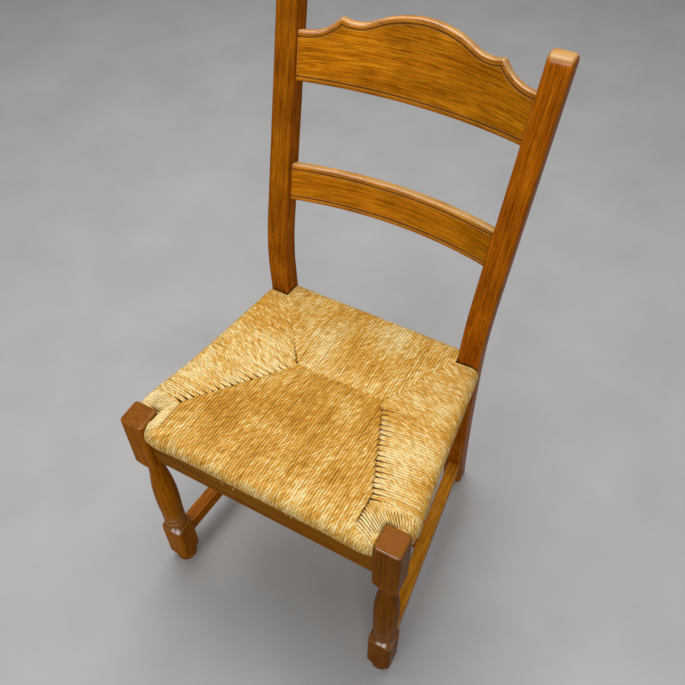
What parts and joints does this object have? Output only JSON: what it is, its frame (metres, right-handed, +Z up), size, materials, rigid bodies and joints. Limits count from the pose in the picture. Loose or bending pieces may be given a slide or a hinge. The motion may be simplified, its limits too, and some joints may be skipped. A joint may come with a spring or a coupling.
{
  "type": "dining chair",
  "caption": "Oak ladder-back dining chair: turned front legs, raked sabre posts, bowed crest and slat, and a woven rush seat.",
  "frame": {"origin": "on the floor, at the middle of the chair's bounding box", "axes": "+Z up, +Y towards the back, +X to the right seen from the front"},
  "size_m": [0.469, 0.5336, 0.9327],
  "materials": {
    "oak_frame": "satin varnish over honey stain",
    "oak_seat_rail": "bare planed oak",
    "rush": "twisted dry rush, lightly varnished",
    "stuffing": "dry rush offcuts, packed"
  },
  "bodies": {
    "root": {"crest_rail": "oak_frame", "back_slat": "oak_frame", "front_apron": "oak_frame", "cross_stretcher": "oak_frame", "front_leg_left": "oak_frame", "front_leg_right": "oak_frame", "rear_post_left": "oak_frame", "rear_post_right": "oak_frame", "side_stretcher_left": "oak_frame", "side_stretcher_right": "oak_frame", "seat_rail_front": "oak_seat_rail", "rush_panel_front": "rush", "rush_stuffing_front": "stuffing", "seat_rail_rear": "oak_seat_rail", "rush_panel_rear": "rush", "rush_stuffing_rear": "stuffing", "seat_rail_left": "oak_seat_rail", "rush_panel_left": "rush", "rush_stuffing_left": "stuffing", "seat_rail_right": "oak_seat_rail", "rush_panel_right": "rush", "rush_stuffing_right": "stuffing"}
  },
  "joints": []
}
